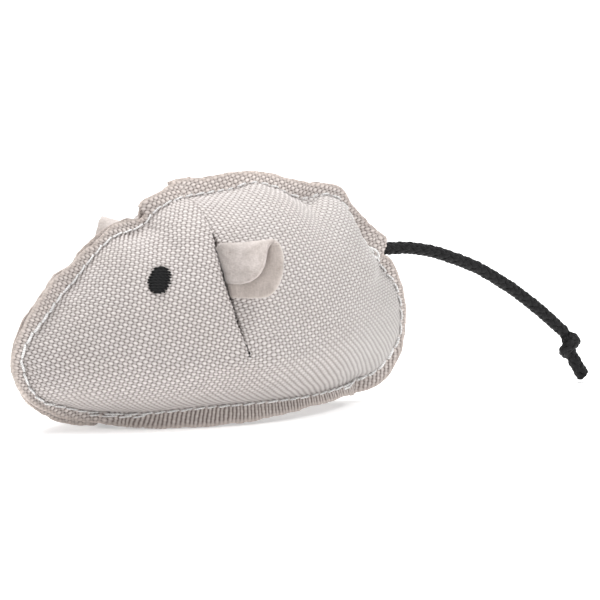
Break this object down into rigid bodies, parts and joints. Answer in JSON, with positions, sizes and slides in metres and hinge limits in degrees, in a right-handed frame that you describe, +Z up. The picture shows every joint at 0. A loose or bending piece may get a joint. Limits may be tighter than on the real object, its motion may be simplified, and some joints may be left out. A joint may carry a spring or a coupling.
{
  "type": "catnip mouse toy",
  "caption": "Stuffed canvas cat toy in the shape of a mouse, with raw-edged seams, folded felt ears, embroidered eyes and a knotted braided cord tail.",
  "frame": {"origin": "middle of the flat of the belly, on the surface the toy stands on", "axes": "+X from nose to tail, +Y to the toy's right, +Z up"},
  "size_m": [0.1505, 0.0617, 0.0537],
  "materials": {
    "canvas": "coarse plain-woven canvas, warm light grey",
    "sewing_thread": "white twisted polyester thread",
    "felt": "soft pinkish-beige felt",
    "embroidery_thread": "black satin stitch, slight sheen",
    "braided_cord": "black round braid, matt",
    "fibre": "white polyester wadding",
    "dried_herb": "crushed dry leaf, grey-green"
  },
  "bodies": {
    "mouse_body": {"left_side_panel": "canvas", "right_side_panel": "canvas", "belly_panel": "canvas", "back_seam_thread_left": "sewing_thread", "back_seam_thread_right": "sewing_thread", "belly_seam_thread_left": "sewing_thread", "belly_seam_thread_right": "sewing_thread", "left_dart_thread": "sewing_thread", "right_dart_thread": "sewing_thread", "tail_tack_thread": "sewing_thread", "belly_backtack_front": "sewing_thread", "belly_backtack_rear": "sewing_thread", "left_ear_root": "felt", "right_ear_root": "felt", "left_eye": "embroidery_thread", "right_eye": "embroidery_thread", "tail_root": "braided_cord", "fibre_filling": "fibre", "catnip_charge": "dried_herb"},
    "left_ear": {"left_ear": "felt"},
    "right_ear": {"right_ear": "felt"},
    "tail_base": {"tail_cord_base": "braided_cord"},
    "tail_tip": {"tail_cord_tip": "braided_cord", "tail_knot": "braided_cord", "tail_end": "braided_cord"}
  },
  "joints": [
    {"name": "left_ear_fold", "type": "hinge", "parent": "mouse_body", "child": "left_ear", "pos_m": [-0.0073, -0.0186, 0.035], "axis": [0, 0.4852, 0.8744], "range_deg": [-45, 6], "stiffness_Nm_per_rad": 0.001},
    {"name": "right_ear_fold", "type": "hinge", "parent": "mouse_body", "child": "right_ear", "pos_m": [-0.0073, 0.0186, 0.035], "axis": [0, 0.4852, -0.8744], "range_deg": [-40, 30], "stiffness_Nm_per_rad": 0.001},
    {"name": "tail_sway", "type": "hinge", "parent": "mouse_body", "child": "tail_base", "pos_m": [0.0476, 0, 0.0338], "axis": [0, 0, 1], "range_deg": [-40, 40], "stiffness_Nm_per_rad": 0.004},
    {"name": "tail_lift", "type": "hinge", "parent": "tail_base", "child": "tail_tip", "pos_m": [0.0714, 0, 0.0277], "axis": [0, -1, 0], "range_deg": [0, 75], "stiffness_Nm_per_rad": 0.004}
  ]
}
